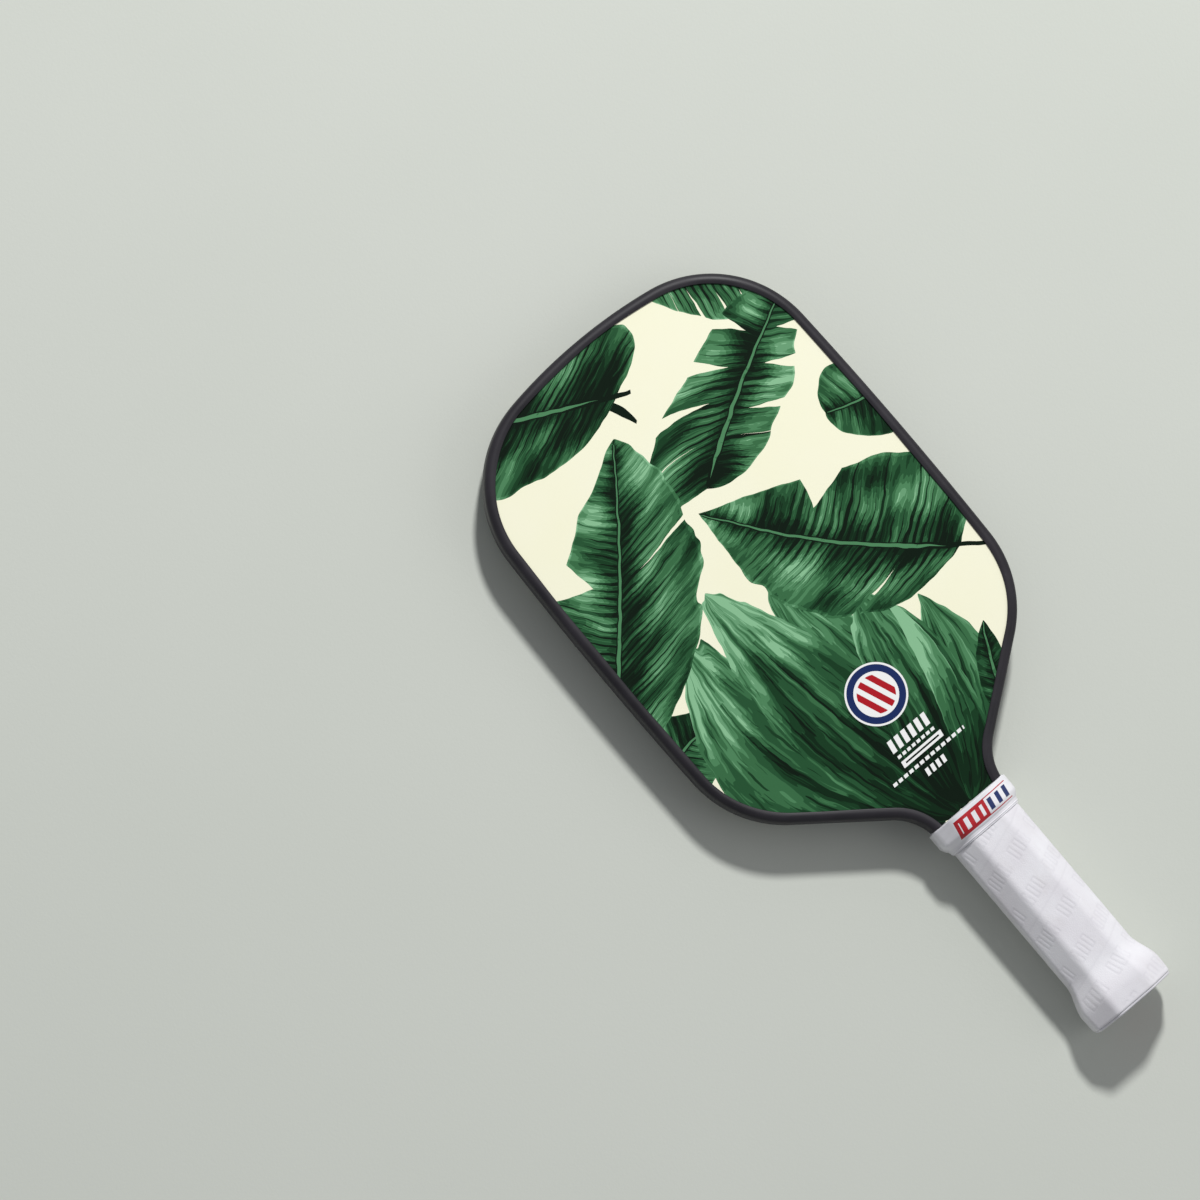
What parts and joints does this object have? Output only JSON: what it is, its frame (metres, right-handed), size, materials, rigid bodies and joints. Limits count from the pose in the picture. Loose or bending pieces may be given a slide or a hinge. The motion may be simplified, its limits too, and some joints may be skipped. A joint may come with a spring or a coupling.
{
  "type": "pickleball paddle",
  "caption": "Elongated pickleball paddle with a printed leaf face, a moulded edge guard and a cushioned octagonal grip with a flared butt.",
  "frame": {"origin": "under the middle of the whole paddle as it lies on its back, level with the lowest point of the butt's flare", "axes": "+X across the face, +Y along the handle towards the head's crown, +Z out of the front face"},
  "size_m": [0.1906, 0.419, 0.0362],
  "materials": {
    "core": "translucent white polypropylene",
    "scrim": "matt bonded veil",
    "skin": "fibreglass laminate",
    "film": "satin printed film with fine texture",
    "guard": "satin moulded",
    "adhesive": "matt foam tape",
    "shell": "matt moulded",
    "cap": "satin moulded",
    "badge": "gloss",
    "grip": "embossed synthetic leather over a cushion",
    "collar": "satin",
    "band": "printed gloss tape"
  },
  "bodies": {
    "root": {"honeycomb_core": "core", "front_core_scrim": "scrim", "back_core_scrim": "scrim", "front_face_skin": "skin", "back_face_skin": "skin", "front_graphic_film": "film", "back_graphic_film": "film", "edge_guard": "guard", "edge_guard_tape": "adhesive", "front_handle_shell": "shell", "back_handle_shell": "shell", "front_grip_tape": "adhesive", "back_grip_tape": "adhesive", "butt_cap": "cap", "butt_badge": "badge", "grip_wrap": "grip", "grip_collar": "collar", "finishing_band": "band"}
  },
  "joints": []
}
